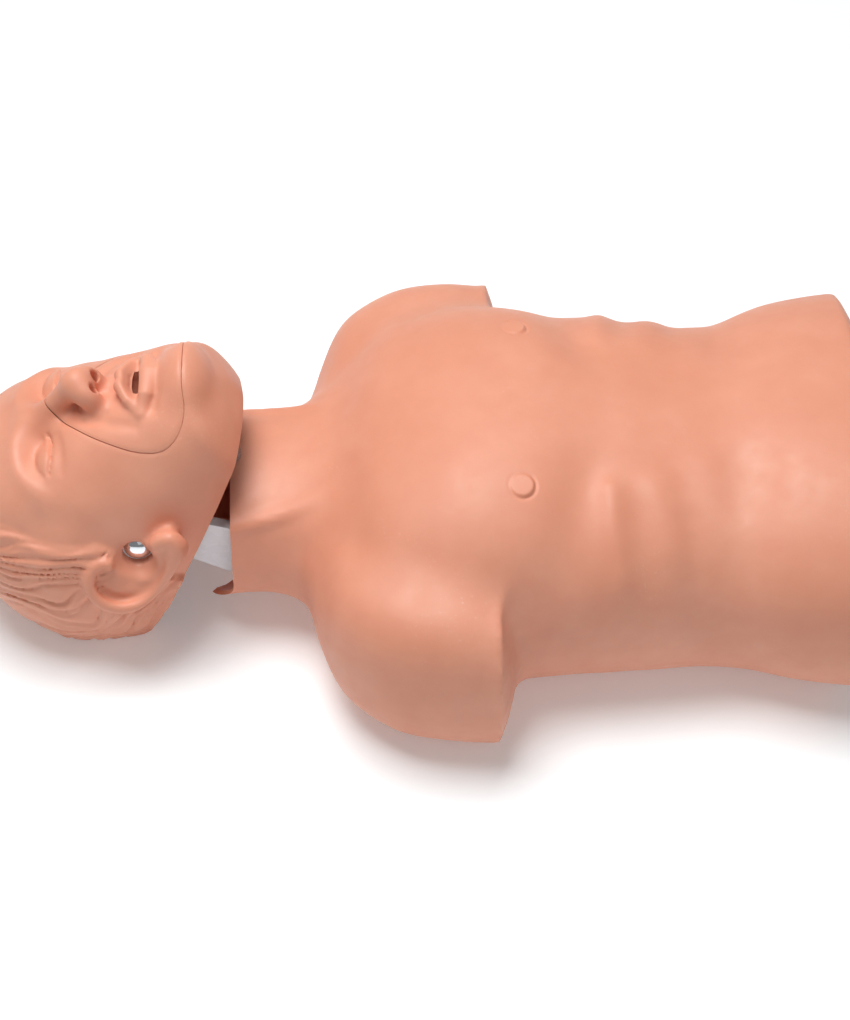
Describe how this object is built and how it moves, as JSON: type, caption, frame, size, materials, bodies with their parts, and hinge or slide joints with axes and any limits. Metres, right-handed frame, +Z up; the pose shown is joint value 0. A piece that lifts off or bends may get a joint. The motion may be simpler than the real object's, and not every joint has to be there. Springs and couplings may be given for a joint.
{
  "type": "resuscitation training manikin",
  "caption": "Life-size torso and head training manikin lying on its back, with a tilting head, removable face piece and sprung chest.",
  "frame": {"origin": "middle of the underside, on the surface that the manikin lies on", "axes": "+X towards the hips and -X towards the head, +Y towards the manikin's left side, +Z up out of the chest"},
  "size_m": [0.6264, 0.348, 0.1979],
  "materials": {
    "skin": "satin soft vinyl, salmon skin tone",
    "foam": "open-cell upholstery foam, tan",
    "board": "moulded black sheet",
    "white_plastic": "moulded, slightly glossy",
    "steel": "zinc plated",
    "chrome": "polished",
    "clear_vinyl": "clear soft vinyl film and hose"
  },
  "bodies": {
    "torso": {"torso_skin": "skin", "foam_core": "foam", "back_board": "board", "skin_rivets": "board", "neck_yoke": "white_plastic", "neck_liner": "skin", "neck_mount": "board", "yoke_bolts": "steel", "yoke_nuts": "steel", "spring_base": "white_plastic", "base_screws": "steel", "guide_rod": "steel", "compression_spring": "steel", "airway_hose": "clear_vinyl"},
    "compressor": {"chest_plate": "white_plastic", "piston_tube": "white_plastic", "plate_screws": "steel", "lung_bag": "clear_vinyl", "chest_pad": "foam"},
    "head": {"head_shell": "skin", "face_seat": "white_plastic", "airway_elbow": "white_plastic", "ear_bush_left": "white_plastic", "ear_bush_right": "white_plastic", "pivot_bolt_left": "chrome", "pivot_bolt_right": "chrome", "pivot_washers": "steel", "pivot_nuts": "steel"},
    "face": {"face_piece": "skin", "mouth_tube": "skin", "face_pegs": "skin"}
  },
  "joints": [
    {"name": "head_tilt", "type": "hinge", "parent": "torso", "child": "head", "pos_m": [-0.1868, 0, 0.1], "axis": [0, 1, 0], "range_deg": [0, 18]},
    {"name": "chest_compression", "type": "slide", "parent": "torso", "child": "compressor", "axis": [0, 0, -1], "range_m": [0, 0.05], "stiffness_N_per_m": 8000, "springref_m": -0.004, "deforming": ["compression_spring"]},
    {"name": "face_piece_lift", "type": "slide", "parent": "head", "child": "face", "axis": [-0.5, 0, 0.866], "range_m": [0, 0.08]}
  ]
}
